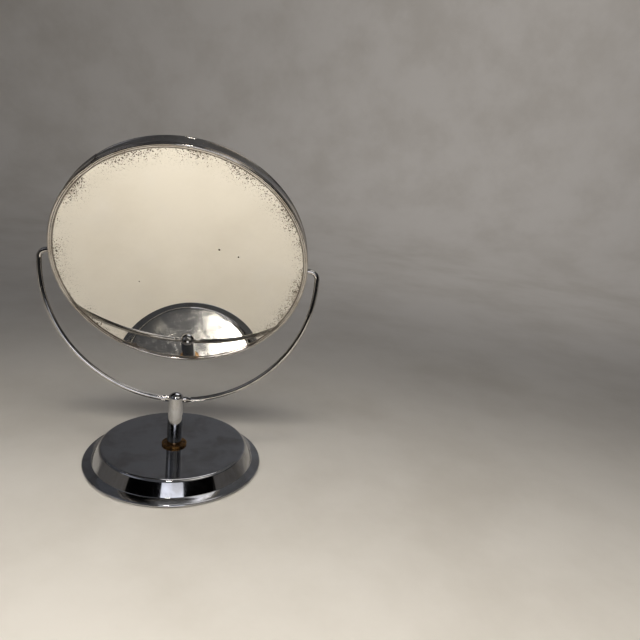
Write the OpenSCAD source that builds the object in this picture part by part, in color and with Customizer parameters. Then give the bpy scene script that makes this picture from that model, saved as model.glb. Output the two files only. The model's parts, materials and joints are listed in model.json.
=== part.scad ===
// Table shaving mirror: a round two-sided mirror head, tilting in a sprung wire yoke,
// on a post that swivels on a weighted base.
// Millimetres, +Z up. The origin is on the table, under the middle of the post.
// The head's pivots lie along X, and its plain mirror faces -Y.

/* [Base] */
// Diameter over the rolled lip
base_d = 107; // [98:1:140]
// Height of the shoulder above the table
base_h = 11.4; // [10.6:0.2:16]
// Thickness of the base's sheet
shell_t = 0.8; // [0.6:0.1:1.2]
// Diameter of the rolled lip
lip_d = 1.8; // [1.6:0.1:2.6]
// How far the felt pad stands below the lip
foot_gap = 0.3; // [0.1:0.1:0.6]
// Width of the flange between the lip and the side
flange_w = 4.6; // [4:0.2:12]
// Rise of the flange from the lip to the side
flange_rise = 0.8; // [0.4:0.1:1.6]
// Run of the side band, from its foot in to the shoulder
side_run = 4.4; // [1:0.1:5]
// Radius of the shoulder between the side band and the top
shoulder_r = 2.2; // [1.2:0.1:2.4]
// Radius of the groove at the foot of the side band
groove_r = 0.5; // [0.3:0.1:0.8]
// Depth of the dished top below the shoulder
dish_depth = 0.9; // [0.4:0.1:1.4]
// Diameter of the flat seat in the middle of the dish
seat_d = 22; // [18:1:30]
// Radius that blends the seat into the dish
seat_blend_r = 30; // [10:1:60]

/* [Ballast and pad] */
// Gap between the ballast and the bottom cover
ballast_lift = 2.9; // [2:0.1:4]
// Gap between the ballast and the shoulder, measured across the radius
ballast_gap = 1.2; // [0.8:0.1:4]
// Chamfer on the ballast's edges
ballast_chamfer = 0.6; // [0.2:0.1:1]
// Gap between the screw's head and the bottom cover
screw_lift = 0.9; // [0.5:0.1:1.5]
// Clearance round the washers in the pocket
pocket_gap = 1; // [0.5:0.1:2]
// Gap between the pad's edge and the cover's edge
pad_inset = 0.5; // [0.2:0.1:3]
// Thickness of the bottom cover
cover_t = 0.5; // [0.3:0.05:0.7]
// Clearance between the bottom cover and the flange above it
cover_fit = 0.02; // [0.01:0.01:0.1]

/* [Swivel] */
// Diameter of the brass washer
washer_d = 15; // [12:0.5:18]
// Thickness of the brass washer
washer_t = 1.2; // [0.8:0.1:2]
// Diameter of the screw's shank
screw_d = 5; // [4:0.5:6]
// Length of the shank that is screwed into the post
thread_l = 12; // [8:1:20]
// Diameter of the screw's head
screw_head_d = 9; // [8:0.5:11]
// Height of the screw's head
screw_head_h = 2.2; // [1.8:0.1:2.4]
// Width of the driver slot
slot_w = 1.2; // [0.8:0.1:1.6]
// Depth of the driver slot
slot_depth = 1; // [0.6:0.1:1.4]
// Diameter of the plain and spring washers
small_washer_d = 12; // [11:0.5:14]
// Thickness of the plain washer
plain_washer_t = 0.8; // [0.6:0.1:1]
// Thickness of the spring washer's sheet
spring_t = 0.4; // [0.3:0.05:0.5]
// Dish of the spring washer
spring_dish = 0.3; // [0.1:0.05:0.4]
// Radial clearance of the shank in what stays with the base
swivel_fit = 0.05; // [0.02:0.01:0.09]
// Gap between faces that slide on each other
face_gap = 0.05; // [0.02:0.01:0.1]

/* [Post] */
// Diameter of the post
post_d = 9; // [8:0.5:12]
// Length of the post, with its domed end
post_l = 32.8; // [28:0.2:60]
// Height of the domed end
dome_h = 2.4; // [1:0.1:3.4]
// Metal between the wire's hole and the edge of the dome
hole_cover = 0.4; // [0.2:0.1:4]

/* [Yoke] */
// Diameter of the yoke's wire
wire_d = 3; // [2.4:0.1:3.2]
// Radius of the bends at the top of the arms, on the wire's middle
bend_r = 4.8; // [3.2:0.1:12]
// Straight wire between each bend and the edge of the head
pivot_reach = 1.6; // [0.6:0.1:8]
// Straight wire between the arc and each bend
arm_upright = 2.8; // [0.5:0.1:20]
// Length of the staked ears on each side of the post
ear_l = 2.8; // [2:0.2:4]
// How far the staked ears stand out above and below the wire
ear_stand = 0.4; // [0.2:0.05:0.6]
// How deep the ears are pressed in at the front and back of the wire
ear_press = 0.4; // [0.2:0.05:0.6]

/* [Head] */
// Diameter of the head over its beads
head_d = 142.4; // [120:0.2:180]
// Diameter of the beads
bead_d = 1.6; // [1.2:0.1:2]
// Depth of the band's outer face below the beads
band_step = 0.4; // [0.2:0.1:0.6]
// Thickness of the rim's sheet
band_t = 0.5; // [0.4:0.05:0.6]
// How far the rim reaches over the mirrors' edges
lip_hold = 0.6; // [0.3:0.1:2]
// Place of the rim's butt joint, counter-clockwise from +X as seen from the front
joint_angle = 127; // [110:1:160]
// Gap in the rim's butt joint
joint_gap = 0.25; // [0.15:0.05:0.6]
// Length of the clip behind the butt joint
clip_l = 14; // [8:1:24]
// Width of the clip
clip_w = 4; // [2:0.5:6]
// Thickness of the clip
clip_t = 0.35; // [0.25:0.05:0.45]
// Tilt of the head at rest, plain mirror facing down
rest_tilt = 22; // [-60:1:60]

/* [Mirrors] */
// Thickness of both mirrors
glass_t = 2; // [1.5:0.1:3]
// Clearance between the mirrors' edges and the pivot bushes
glass_fit = 0.1; // [0.05:0.05:1]
// Chamfer round the mirrors' edges
glass_arris = 0.25; // [0.1:0.05:0.4]
// Radius of curvature of the magnifying mirror
mirror_curve_r = 600; // [400:10:1500]
// Gap between the backing card and the crown of the magnifying mirror
crown_gap = 0.35; // [0.1:0.05:2]
// Thickness of the backing card
card_t = 0.6; // [0.3:0.1:1.2]
// Width of the spacer ring's section
spacer_w = 3; // [2:0.5:8]
// Clearance between the wire's ends and the card and spacer ring
core_fit = 0.3; // [0.2:0.1:1]
// Clearance between the spacer ring and the magnifying mirror
spacer_fit = 0.1; // [0.05:0.05:0.2]

/* [Pivots] */
// Wall of the pivot bushes
bush_wall = 0.5; // [0.4:0.05:0.6]
// Width of the bushes' flanges beyond the barrels
bush_rim = 0.35; // [0.3:0.05:0.4]
// Thickness of the bushes' flanges
bush_flange_t = 0.5; // [0.4:0.1:0.6]
// Gap that lets the bushes' flat faces sit in the round band
bush_seat = 0.1; // [0.08:0.01:0.15]
// Radial clearance of the wire in the bushes
pivot_fit = 0.04; // [0.02:0.01:0.09]
// Length of wire that stands out of the bushes, inside the head
tip_l = 0.2; // [0.1:0.05:0.3]

/* [Hidden] */
$fn = 96;

// Base
lip_r = lip_d / 2;
lip_mid = base_d / 2 - lip_r;
flange_z = foot_gap + lip_d;
side_foot_r = lip_mid - flange_w;
shoulder_d = 2 * (side_foot_r - side_run);
seat_z = base_h - dish_depth;
hole_d = screw_d + 2 * swivel_fit;

// Corners of the shell's outer face, from the middle hole out: radius, height, rounding
shell_corners = [
    [hole_d / 2, seat_z, 0],
    [seat_d / 2, seat_z, seat_blend_r],
    [shoulder_d / 2, base_h, shoulder_r],
    [side_foot_r, flange_z + flange_rise, groove_r],
    [lip_mid, flange_z, 0],
];

// Cover, pad and ballast
cover_top = flange_z - shell_t - cover_fit;
pad_t = cover_top - cover_t;
cover_d = base_d - 2 * lip_d;
ballast_top = seat_z - shell_t;
ballast_z = cover_top + ballast_lift;
ballast_t = ballast_top - ballast_z;

// The screw's stack in the ballast's pocket, from the cover up
screw_head_z = cover_top + screw_lift;
screw_head_top = screw_head_z + screw_head_h;
pocket_z = screw_head_top + plain_washer_t + face_gap + spring_t + spring_dish;
pocket_d = small_washer_d + 2 * pocket_gap;

// Post
washer_top = seat_z + washer_t;
post_z = washer_top + face_gap;
post_top = post_z + post_l;
dome_r = (pow(post_d / 2, 2) + pow(dome_h, 2)) / (2 * dome_h);

// Yoke
wire_z = post_top - dome_h - hole_cover - wire_d / 2;
yoke_r = head_d / 2 + pivot_reach + bend_r;
arc_z = wire_z + yoke_r;
pivot_z = arc_z + arm_upright + bend_r;

// Pivots and rim, across the head
bead_r = bead_d / 2;
bead_mid_r = head_d / 2 - bead_r;
band_r = head_d / 2 - band_step;
band_in_r = band_r - band_t;
bush_d = wire_d + 2 * (pivot_fit + bush_wall);
flange_out_r = band_in_r - bush_seat;
flange_in_r = flange_out_r - bush_flange_t;
tip_r = flange_in_r - tip_l;
glass_r = flange_in_r - glass_fit;
window_r = glass_r - lip_hold;
core_r = tip_r - core_fit;

// Mirrors and rim, along the head's axis from the middle of the band
glass_z = (2 * glass_t + card_t + crown_gap + mirror_rise(0)) / 2;
glass_back = glass_z - glass_t;
card_back = glass_back - card_t;
spacer_in_r = core_r - spacer_w;
spacer_z = mirror_rise(spacer_in_r) - glass_back + spacer_fit;
bead_mid_z = glass_z + band_t / 2;
head_w = 2 * (bead_mid_z + bead_r);

// How far the magnifying mirror stands up inside its edge, at a radius
function mirror_rise(r) =
    sqrt(pow(mirror_curve_r, 2) - pow(r, 2)) - sqrt(pow(mirror_curve_r, 2) - pow(glass_r, 2));

// Points of an arc of n steps round a centre
function arc(mid, r, from, to, n = 12) =
    [for (i = [0:n]) let (a = from + (to - from) * i / n) mid + r * [cos(a), sin(a)]];

function unit(v) = v / norm(v);
function normal(a, b) = let (d = unit(b - a)) [-d[1], d[0]];
function spot(corner) = [corner[0], corner[1]];

// A corner of the path moved sideways by t, where its two sides meet again
function moved_corner(path, i, t) =
    let (last = len(path) - 1, p = spot(path[i]),
         n1 = i > 0 ? normal(spot(path[i - 1]), p) : normal(p, spot(path[1])),
         n2 = i < last ? normal(p, spot(path[i + 1])) : n1)
    p + t * (n1 + n2) / (1 + n1 * n2);

// Which way the path turns at a corner: 1 to the left, -1 to the right
function turn(path, i) =
    sign(cross(spot(path[i]) - spot(path[i - 1]), spot(path[i + 1]) - spot(path[i])));

function moved_path(path, t) =
    [for (i = [0:len(path) - 1])
        let (p = moved_corner(path, i, t), r = path[i][2])
        [p[0], p[1], r == 0 ? 0 : r - t * turn(path, i)]];

// The points of a path with its corners rounded
function rounded_path(path) =
    [for (i = [0:len(path) - 1])
        let (p = spot(path[i]), r = path[i][2])
        each r == 0 ? [p] :
            let (u = unit(spot(path[i - 1]) - p), v = unit(spot(path[i + 1]) - p),
                 half = acos(u * v) / 2, mid = p + unit(u + v) * r / sin(half),
                 start = p + u * r / tan(half), end = p + v * r / tan(half),
                 a = atan2(start[1] - mid[1], start[0] - mid[0]),
                 sweep = atan2(end[1] - mid[1], end[0] - mid[0]) - a,
                 short = sweep > 180 ? sweep - 360 : sweep < -180 ? sweep + 360 : sweep)
            arc(mid, r, a, a + short)];

function backwards(list) = [for (i = [len(list) - 1:-1:0]) list[i]];

// A sheet of thickness t under a path
module sheet(path, t) {
    polygon(concat(rounded_path(path), backwards(rounded_path(moved_path(path, -t)))));
}

// A disc with chamfered edges
module chamfered_disc(r, h, chamfer) {
    rotate_extrude()
        polygon([[0, 0], [r - chamfer, 0], [r, chamfer], [r, h - chamfer], [r - chamfer, h], [0, h]]);
}

module ring(outer, inner, h) {
    difference() {
        cylinder(d = outer, h = h);
        translate([0, 0, -1]) cylinder(d = inner, h = h + 2);
    }
}

// From the head's own frame, with its axis along Z and its front up, to its place at rest
module in_head() {
    translate([0, 0, pivot_z]) rotate([rest_tilt + 90, 0, 0]) children();
}

// Two mirror-image pivots: side 1 is on +X, and local +X points out of the head
module at_pivot(side) {
    in_head() rotate([0, 0, side > 0 ? 0 : 180]) children();
}

module base_shell() {
    color("lightsteelblue") {
        rotate_extrude() sheet(shell_corners, shell_t);
        translate([0, 0, foot_gap + lip_r])
            rotate_extrude() translate([lip_mid, 0]) circle(r = lip_r);
    }
}

module ballast_disc() {
    color("dimgray") translate([0, 0, ballast_z]) difference() {
        chamfered_disc(shoulder_d / 2 - ballast_gap, ballast_t, ballast_chamfer);
        translate([0, 0, -1]) cylinder(d = hole_d, h = ballast_t + 2);
        translate([0, 0, -1]) cylinder(d = pocket_d, h = pocket_z - ballast_z + 1);
    }
}

module bottom_cover() {
    color("gray") translate([0, 0, pad_t]) cylinder(d = cover_d, h = cover_t);
}

module felt_pad() {
    color("darkgreen") cylinder(d = cover_d - 2 * pad_inset, h = pad_t);
}

module brass_washer() {
    color("goldenrod") translate([0, 0, seat_z]) ring(washer_d, hole_d, washer_t);
}

module spring_washer() {
    high = pocket_z;
    low = high - spring_dish;
    color("silver") rotate_extrude() polygon([
        [hole_d / 2, low - spring_t], [small_washer_d / 2, high - spring_t],
        [small_washer_d / 2, high], [hole_d / 2, low],
    ]);
}

module plain_washer() {
    color("silver") translate([0, 0, screw_head_top])
        ring(small_washer_d, screw_d, plain_washer_t);
}

module pivot_screw() {
    color("silver") difference() {
        union() {
            translate([0, 0, screw_head_z]) cylinder(d = screw_head_d, h = screw_head_h);
            translate([0, 0, screw_head_top])
                cylinder(d = screw_d, h = post_z + thread_l - screw_head_top);
        }
        translate([-screw_head_d, -slot_w / 2, screw_head_z - 1])
            cube([2 * screw_head_d, slot_w, slot_depth + 1]);
    }
}

module post() {
    color("lightsteelblue") difference() {
        union() {
            translate([0, 0, post_z]) cylinder(d = post_d, h = post_l - dome_h);
            intersection() {
                translate([0, 0, post_top - dome_r]) sphere(r = dome_r);
                translate([0, 0, post_top - dome_h]) cylinder(d = post_d, h = dome_h);
            }
        }
        translate([0, 0, post_z - 1]) cylinder(d = screw_d, h = thread_l + 1);
        yoke_arc();
    }
}

// The lower half circle of the wire
module yoke_arc() {
    translate([0, 0, arc_z]) rotate([90, 0, 0]) rotate([0, 0, 180])
        rotate_extrude(angle = 180) translate([yoke_r, 0]) circle(d = wire_d);
}

// The top of the arm on +X: a short upright, the bend and the pivot end
module arm_top() {
    translate([yoke_r, 0, arc_z]) cylinder(d = wire_d, h = arm_upright);
    translate([yoke_r - bend_r, 0, pivot_z - bend_r]) rotate([90, 0, 0])
        rotate_extrude(angle = 90) translate([bend_r, 0]) circle(d = wire_d);
    translate([tip_r, 0, pivot_z]) rotate([0, 90, 0])
        cylinder(d = wire_d, h = yoke_r - bend_r - tip_r);
}

// The wire is flattened beside the post, so that it can't slide through
module staked_ear() {
    ear_h = wire_d + 2 * ear_stand;
    ear_t = wire_d - 2 * ear_press;
    translate([post_d / 2, -ear_t / 2, wire_z - ear_h / 2]) cube([ear_l, ear_t, ear_h]);
}

module yoke_wire() {
    color("lightsteelblue") {
        yoke_arc();
        for (side = [0, 1]) mirror([side, 0, 0]) {
            arm_top();
            staked_ear();
        }
    }
}

module rim_band() {
    color("lightsteelblue") in_head() difference() {
        union() {
            translate([0, 0, -bead_mid_z]) ring(2 * band_r, 2 * band_in_r, 2 * bead_mid_z);
            for (side = [-1, 1]) translate([0, 0, side * bead_mid_z]) {
                rotate_extrude() translate([bead_mid_r, 0]) circle(r = bead_r);
                translate([0, 0, -band_t / 2]) ring(2 * bead_mid_r, 2 * window_r, band_t);
            }
        }
        rotate([0, 90, 0]) cylinder(d = bush_d, h = head_d, center = true);
        rotate([0, 0, joint_angle]) translate([0, -joint_gap / 2, -head_w])
            cube([head_d, joint_gap, 2 * head_w]);
    }
}

module rim_joint_clip() {
    color("silver") in_head() rotate([0, 0, joint_angle]) intersection() {
        translate([0, 0, -clip_w / 2]) ring(2 * band_in_r, 2 * (band_in_r - clip_t), clip_w);
        translate([0, -clip_l / 2, -clip_w / 2]) cube([head_d, clip_l, clip_w]);
    }
}

// A barrel through the band, flush with its outer face, with a flange inside
module pivot_bush(side) {
    bore_r = wire_d / 2 + pivot_fit;
    barrel_r = bush_d / 2;
    flange_r = barrel_r + bush_rim;
    color("goldenrod") at_pivot(side) rotate([0, 90, 0]) rotate_extrude() polygon([
        [bore_r, flange_in_r], [flange_r, flange_in_r], [flange_r, flange_out_r],
        [barrel_r, flange_out_r], [barrel_r, band_r - bush_seat], [bore_r, band_r - bush_seat],
    ]);
}

module left_pivot_bush() { pivot_bush(-1); }

module right_pivot_bush() { pivot_bush(1); }

module front_mirror() {
    color("aliceblue") in_head() translate([0, 0, glass_back])
        chamfered_disc(glass_r, glass_t, glass_arris);
}

module backing_card() {
    color("burlywood") in_head() translate([0, 0, card_back]) cylinder(r = core_r, h = card_t);
}

module spacer_ring() {
    color("burlywood") in_head() translate([0, 0, spacer_z])
        ring(2 * core_r, 2 * spacer_in_r, card_back - spacer_z);
}

// The magnifying mirror: its hollow face looks backwards
module rear_mirror() {
    edge = asin(glass_r / mirror_curve_r);
    mid = [0, -glass_z - mirror_curve_r * cos(edge)];
    hollow = arc(mid, mirror_curve_r, 90 - edge, 90);
    color("aliceblue") in_head() rotate_extrude()
        polygon(concat(hollow, backwards([for (p = hollow) p + [0, glass_t]])));
}

base_shell();
ballast_disc();
bottom_cover();
felt_pad();
brass_washer();
spring_washer();
plain_washer();
pivot_screw();
post();
yoke_wire();
rim_band();
rim_joint_clip();
left_pivot_bush();
right_pivot_bush();
front_mirror();
backing_card();
spacer_ring();
rear_mirror();
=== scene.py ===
"""Table shaving mirror: a weighted chrome base, a short post, a bent wire yoke and a two-sided head.

The classes hold their sizes in millimetres. Meshes are built in metres, in the frame's own place.
"""
import json
import logging
import math
from dataclasses import dataclass, field
from enum import Enum
from typing import Dict, List, Optional, Sequence, Tuple, Union

import bmesh
import bpy
from mathutils import Matrix, Vector, noise


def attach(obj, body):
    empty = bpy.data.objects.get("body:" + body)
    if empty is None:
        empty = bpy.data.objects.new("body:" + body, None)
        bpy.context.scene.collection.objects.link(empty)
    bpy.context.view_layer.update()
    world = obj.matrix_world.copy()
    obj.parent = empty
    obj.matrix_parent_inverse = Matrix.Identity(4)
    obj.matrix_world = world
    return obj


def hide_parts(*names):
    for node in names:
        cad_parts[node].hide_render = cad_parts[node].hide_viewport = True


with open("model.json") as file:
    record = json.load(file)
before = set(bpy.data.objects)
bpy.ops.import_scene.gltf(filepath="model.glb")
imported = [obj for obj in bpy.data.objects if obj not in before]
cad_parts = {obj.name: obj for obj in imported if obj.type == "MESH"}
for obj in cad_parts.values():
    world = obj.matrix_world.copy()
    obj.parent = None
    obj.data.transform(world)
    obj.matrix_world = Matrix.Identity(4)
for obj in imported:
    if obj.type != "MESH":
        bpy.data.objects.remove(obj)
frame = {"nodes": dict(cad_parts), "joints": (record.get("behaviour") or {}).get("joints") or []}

LOG = logging.getLogger("shaving_mirror")
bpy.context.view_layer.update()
MM = 0.001
ORIGIN = (0.0, 0.0, 0.0)
UPRIGHT = (0.0, 0.0, 1.0)
FULL_TURN = 360.0
# Points closer than the first, in metres, are merged, and edges shorter than the second are dissolved
SAME_POINT = 2e-7
NO_LENGTH = 1e-8
# Where a noise turns into a scratch, and how a speck's edge fades, as shares of its own reach
SCRATCH_BAND = (0.63, 0.70)
SPECK_FADE = (0.75, 1.1)
LEAST_SPECK = 0.001
# The Wave texture's phase runs this many radians to a unit of its scale
WAVE_PHASE = 20.0
Point = Tuple[float, float]
Triple = Tuple[float, float, float]
Socket = bpy.types.NodeSocket


class Body(Enum):
    """The moving bodies of the mirror."""

    BASE = "base"
    STAND = "stand"
    HEAD = "head"


class Slot(Enum):
    """The record's finishes, by name. Nothing in this script reads them."""

    CHROME = "chrome_plate"
    FELT = "felt"
    BRASS = "brass"
    PLAIN_GLASS = "plain_mirror"
    MAGNIFIER = "magnifying_mirror"


class Face(Enum):
    """Which way a glass face looks, as its place in the piece's material list."""

    SILVERED = 0
    EDGE = 1
    BACKED = 2


# ---------------------------------------------------------------- colour and node helpers


def linear(hex_colour: str) -> Tuple[float, float, float, float]:
    """Turns an sRGB hex colour to linear light.

    Args:
        hex_colour: the colour as "#rrggbb".

    Returns:
        Red, green, blue and an alpha of 1, all linear.
    """
    parts = [int(hex_colour[i:i + 2], 16) / 255 for i in (1, 3, 5)]
    red, green, blue = (p / 12.92 if p <= 0.04045 else ((p + 0.055) / 1.055) ** 2.4 for p in parts)
    return red, green, blue, 1.0


def per_metre(size_mm: float) -> float:
    """Gives the texture scale whose pattern repeats about every size_mm millimetres."""
    return 1.0 / (size_mm * MM)


def add_node(
    tree: bpy.types.NodeTree,
    kind: str,
    links: Optional[Dict[Union[int, str], object]] = None,
    **settings: object,
) -> bpy.types.Node:
    """Adds one shader node with its settings and what goes into it.

    Args:
        tree: the material's or world's node tree.
        kind: the node's type, such as "ShaderNodeBump".
        links: input name or index, with the socket or the value that it takes.
        **settings: the node's own properties.

    Returns:
        The new node.
    """
    made = tree.nodes.new(kind)
    for name, value in settings.items():
        setattr(made, name, value)
    for name, source in (links or {}).items():
        if isinstance(source, Socket):
            tree.links.new(source, made.inputs[name])
        else:
            made.inputs[name].default_value = source
    return made


def math_node(tree: bpy.types.NodeTree, operation: str, *values: Union[Socket, float]) -> Socket:
    """Adds a Math node, whose result isn't clamped.

    Args:
        tree: the material's node tree.
        operation: the Math operation, such as "MULTIPLY".
        *values: one to three sockets or numbers.

    Returns:
        The node's value.
    """
    return add_node(tree, "ShaderNodeMath", dict(enumerate(values)), operation=operation).outputs[0]


def ranged(tree: bpy.types.NodeTree, value: Socket, low: float, high: float,
           to_low: float = 0.0, to_high: float = 1.0) -> Socket:
    """Maps a value smoothly from one range to another, and clamps it.

    Args:
        tree: the material's node tree.
        value: the value that is read.
        low: where the result starts.
        high: where the result ends.
        to_low: the result at low.
        to_high: the result at high.

    Returns:
        The mapped value.
    """
    links = {0: value, 1: low, 2: high, 3: to_low, 4: to_high}
    return add_node(tree, "ShaderNodeMapRange", links, interpolation_type="SMOOTHSTEP").outputs[0]


def blended(tree: bpy.types.NodeTree, share: Socket, first: Union[Socket, Sequence[float]],
            second: Union[Socket, Sequence[float]]) -> Socket:
    """Mixes two colours.

    Args:
        tree: the material's node tree.
        share: how much of the second colour shows.
        first: the colour where share is 0.
        second: the colour where share is 1.

    Returns:
        The mixed colour.
    """
    links = {0: share, 6: first, 7: second}
    return add_node(tree, "ShaderNodeMix", links, data_type="RGBA").outputs[2]


def cloudy(tree: bpy.types.NodeTree, where: Socket, size_mm: float, detail: float = 4.0,
           roughness: float = 0.55, distortion: float = 0.0) -> Socket:
    """Adds soft cloudy noise.

    Args:
        tree: the material's node tree.
        where: the coordinates.
        size_mm: about how wide a cloud is.
        detail: how many finer layers it has.
        roughness: how strong those are.
        distortion: how much they swirl.

    Returns:
        The noise, around 0.5.
    """
    links = {"Vector": where, "Scale": per_metre(size_mm), "Detail": detail,
             "Roughness": roughness, "Distortion": distortion}
    return add_node(tree, "ShaderNodeTexNoise", links).outputs[0]


def hairlines(tree: bpy.types.NodeTree, where: Socket, spacing_mm: float, length_mm: float,
              turn: Sequence[float]) -> Socket:
    """Draws fine hair scratches that run one way.

    Args:
        tree: the material's node tree.
        where: the coordinates.
        spacing_mm: about how far apart they are.
        length_mm: about how long they are.
        turn: the rotation of their direction, in radians about x, y and z.

    Returns:
        1 on a scratch and 0 off it.
    """
    stretch = (per_metre(length_mm), per_metre(spacing_mm), per_metre(length_mm))
    turned_round = add_node(tree, "ShaderNodeMapping", {"Vector": where, "Rotation": turn}).outputs[0]
    laid = add_node(tree, "ShaderNodeMapping", {"Vector": turned_round, "Scale": stretch}).outputs[0]
    grain = add_node(tree, "ShaderNodeTexNoise", {"Vector": laid, "Scale": 1.0, "Detail": 2.0}).outputs[0]
    return ranged(tree, grain, *SCRATCH_BAND)


def specks(tree: bpy.types.NodeTree, where: Socket, cell_mm: float, reach: Union[Socket, float]) -> Socket:
    """Scatters round specks, one to a cell at most.

    Args:
        tree: the material's node tree.
        where: the coordinates.
        cell_mm: how far apart the specks can be.
        reach: a speck's radius as a share of its cell. Each one takes its own share of it.

    Returns:
        1 on a speck and 0 off it.
    """
    links = {"Vector": where, "Scale": per_metre(cell_mm), "Randomness": 1.0}
    cells = add_node(tree, "ShaderNodeTexVoronoi", links)
    own = add_node(tree, "ShaderNodeSeparateColor", {0: cells.outputs["Color"]}).outputs[0]
    limit = math_node(tree, "MULTIPLY", math_node(tree, "MULTIPLY", own, own), reach)
    limit = math_node(tree, "MAXIMUM", limit, LEAST_SPECK)
    edge = math_node(tree, "DIVIDE", cells.outputs["Distance"], limit)
    return ranged(tree, edge, *SPECK_FADE, 1.0, 0.0)


# ---------------------------------------------------------------- finishes


@dataclass(frozen=True)
class Finish:
    """One real finish, made as a material with a Principled shader.

    The fields below are the ones every finish has.
    """

    name: str
    body_colour: str = "#bfc0c3"
    metallic: float = 1.0
    gloss_roughness: float = 0.06

    def material(self) -> bpy.types.Material:
        """Makes the material, or returns the one already made."""
        known = bpy.data.materials.get(self.name)
        if known is not None:
            return known
        made = bpy.data.materials.new(self.name)
        made.use_nodes = True
        tree = made.node_tree
        shader = tree.nodes["Principled BSDF"]
        shader.inputs["Metallic"].default_value = self.metallic
        shader.inputs["Roughness"].default_value = self.gloss_roughness
        where = add_node(tree, "ShaderNodeTexCoord").outputs["Object"]
        self.paint(tree, shader, where)
        return made

    def paint(self, tree: bpy.types.NodeTree, shader: bpy.types.Node, where: Socket) -> None:
        """Adds the finish's own colour, roughness and relief.

        Args:
            tree: the material's node tree.
            shader: its Principled shader.
            where: the piece's Object coordinates.
        """
        raise NotImplementedError

    def connect(self, tree: bpy.types.NodeTree, shader: bpy.types.Node, **sources: Socket) -> None:
        """Links sockets into the shader by input name, with spaces written as underscores."""
        for name, source in sources.items():
            tree.links.new(source, shader.inputs[name.replace("_", " ")])

    def relief(self, tree: bpy.types.NodeTree, height: Socket, depth_mm: float,
               under: Optional[Socket] = None) -> Socket:
        """Adds a bump of a real depth.

        Args:
            tree: the material's node tree.
            height: the height, from 0 to 1.
            depth_mm: how high 1 stands over 0.
            under: a coarser bump that this one lies on.

        Returns:
            The bumped normal.
        """
        links: Dict[Union[int, str], object] = {"Strength": 1.0, "Distance": depth_mm * MM, "Height": height}
        if under is not None:
            links["Normal"] = under
        return add_node(tree, "ShaderNodeBump", links).outputs[0]


@dataclass(frozen=True)
class ChromePlate(Finish):
    """Bright chromium over nickel on steel. It is hard, cool and nearly a mirror.

    Age gives it a faint haze where cloths and fingers reach, hair scratches, and pin-prick rust
    where the plate is thin, so its reflections are sharp but never quite clean.
    """

    haze_colour: str = "#a9a8a6"
    pit_colour: str = "#4a3625"
    haze_mm: float = 16.0
    haze_band: Point = (0.42, 0.72)
    haze_roughness: float = 0.05
    scratch_mm: float = 0.5
    scratch_length_mm: float = 18.0
    scratch_depth_mm: float = 0.0003
    scratch_roughness: float = 0.07
    scratch_turns: Tuple[Triple, Triple] = ((0.3, 0.2, 0.5), (0.1, 0.4, 2.0))
    pit_cell_mm: float = 3.2
    pit_reach: float = 0.10
    pit_roughness: float = 0.7
    pit_metallic: float = 0.3
    wave_mm: float = 26.0
    wave_depth_mm: float = 0.05

    def paint(self, tree: bpy.types.NodeTree, shader: bpy.types.Node, where: Socket) -> None:
        """Adds haze, crossed hair scratches, pits and the slight waves of the sheet or rod."""
        cloud = cloudy(tree, where, self.haze_mm, detail=5.0, roughness=0.6, distortion=0.4)
        haze = ranged(tree, cloud, *self.haze_band)
        one_way, other_way = (
            hairlines(tree, where, self.scratch_mm, self.scratch_length_mm, turn)
            for turn in self.scratch_turns)
        scratched = math_node(tree, "MAXIMUM", one_way, other_way)
        pitted = specks(tree, where, self.pit_cell_mm, self.pit_reach)
        hazed = blended(tree, haze, linear(self.body_colour), linear(self.haze_colour))
        rough = math_node(tree, "MULTIPLY_ADD", haze, self.haze_roughness, self.gloss_roughness)
        rough = math_node(tree, "MULTIPLY_ADD", scratched, self.scratch_roughness, rough)
        rough = math_node(tree, "MAXIMUM", rough, math_node(tree, "MULTIPLY", pitted, self.pit_roughness))
        wave = cloudy(tree, where, self.wave_mm, detail=1.0, roughness=0.4)
        waves = self.relief(tree, wave, self.wave_depth_mm)
        marks = math_node(tree, "SUBTRACT", 1.0, math_node(tree, "MAXIMUM", scratched, pitted))
        self.connect(
            tree, shader,
            Base_Color=blended(tree, pitted, hazed, linear(self.pit_colour)),
            Roughness=rough,
            Metallic=ranged(tree, pitted, 0.0, 1.0, 1.0, self.pit_metallic),
            Normal=self.relief(tree, marks, self.scratch_depth_mm, waves),
        )


@dataclass(frozen=True)
class TarnishedBrass(Finish):
    """Turned brass that has browned. It is warm and dull, and brighter where things rub on it."""

    tarnish_colour: str = "#4a3722"
    stain_mm: float = 2.4
    stain_band: Point = (0.36, 0.60)
    stain_roughness: float = 0.30
    turning_mm: float = 0.237
    turning_depth_mm: float = 0.002

    def paint(self, tree: bpy.types.NodeTree, shader: bpy.types.Node, where: Socket) -> None:
        """Adds brown tarnish clouds over bright metal, and fine turning marks."""
        cloud = cloudy(tree, where, self.stain_mm, detail=6.0, roughness=0.65, distortion=0.6)
        stain = ranged(tree, cloud, *self.stain_band)
        scale = per_metre(self.turning_mm) * math.tau / WAVE_PHASE
        links = {"Vector": where, "Scale": scale, "Distortion": 0.4}
        rings = add_node(tree, "ShaderNodeTexWave", links, wave_type="RINGS", rings_direction="Z").outputs[1]
        colour = blended(tree, stain, linear(self.body_colour), linear(self.tarnish_colour))
        self.connect(
            tree, shader,
            Base_Color=colour,
            Roughness=math_node(tree, "MULTIPLY_ADD", stain, self.stain_roughness, self.gloss_roughness),
            Normal=self.relief(tree, rings, self.turning_depth_mm),
        )


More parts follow.
